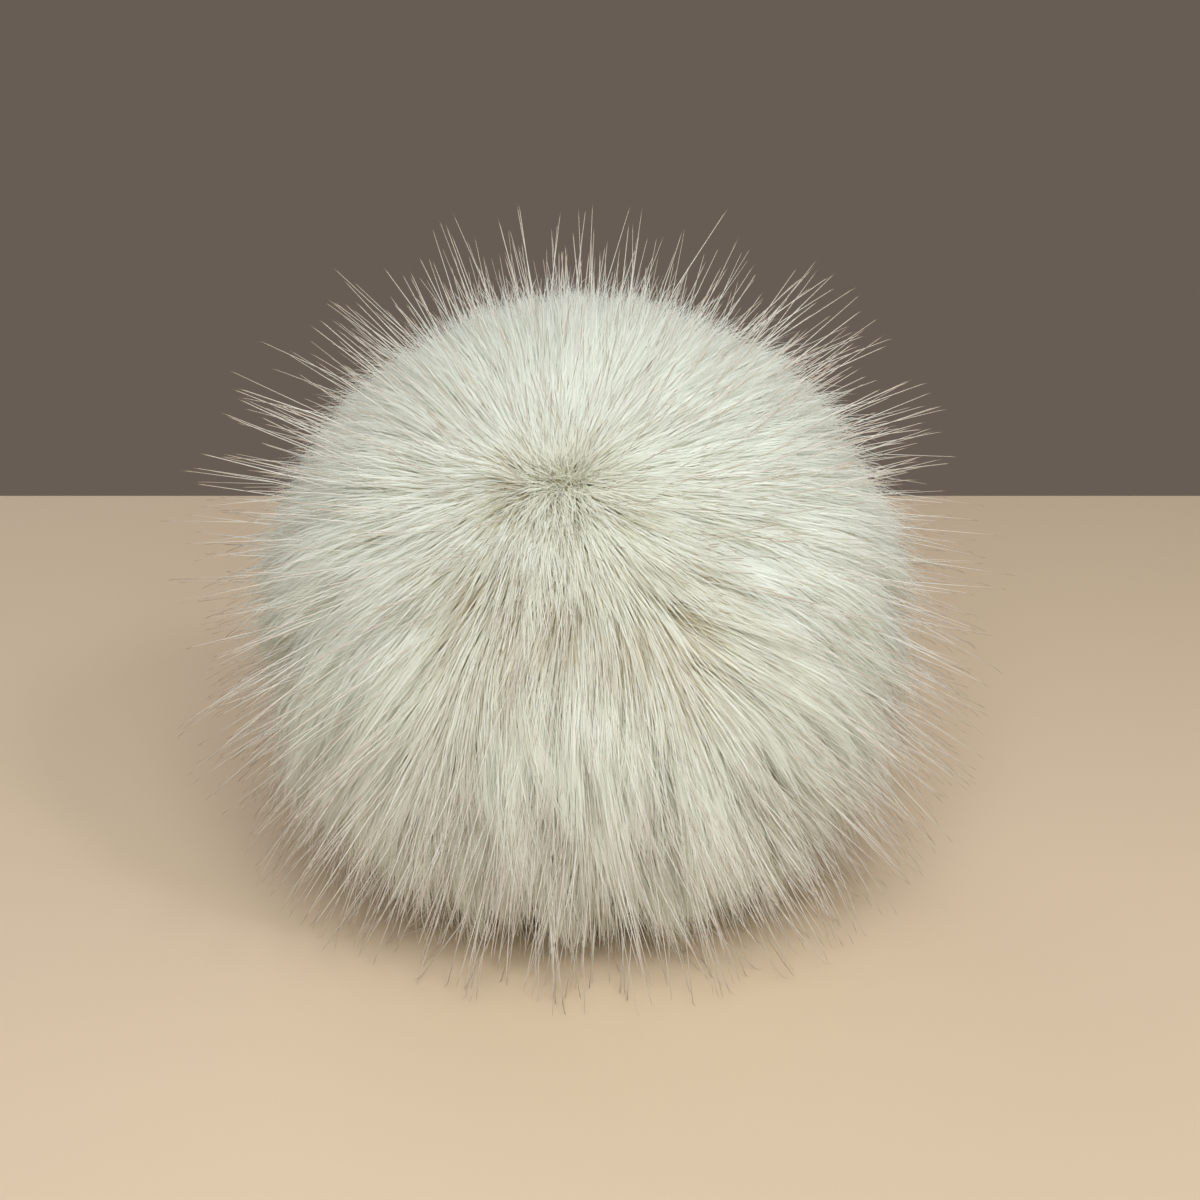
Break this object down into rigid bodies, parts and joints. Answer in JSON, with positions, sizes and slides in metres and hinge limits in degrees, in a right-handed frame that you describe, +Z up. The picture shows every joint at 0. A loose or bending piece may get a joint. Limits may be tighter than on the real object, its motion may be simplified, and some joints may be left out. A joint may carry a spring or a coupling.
{
  "type": "pom pom",
  "caption": "Cream-white faux-fur pom pom: a round ball of long soft pile that parts at a whorl on its front and rests on a small flat foot.",
  "frame": {"origin": "middle of the flat foot, under the middle of the ball's box, on the surface that it rests on", "axes": "+Z up, away from the surface; -Y towards the front, where the whorl of the pile faces up and forwards"},
  "size_m": [0.108, 0.1078, 0.1],
  "materials": {
    "fur": "long cream-white acrylic pile, beige at the roots, with a soft gloss along the strands"
  },
  "bodies": {
    "root": {"pom_pom": "fur"}
  },
  "joints": []
}
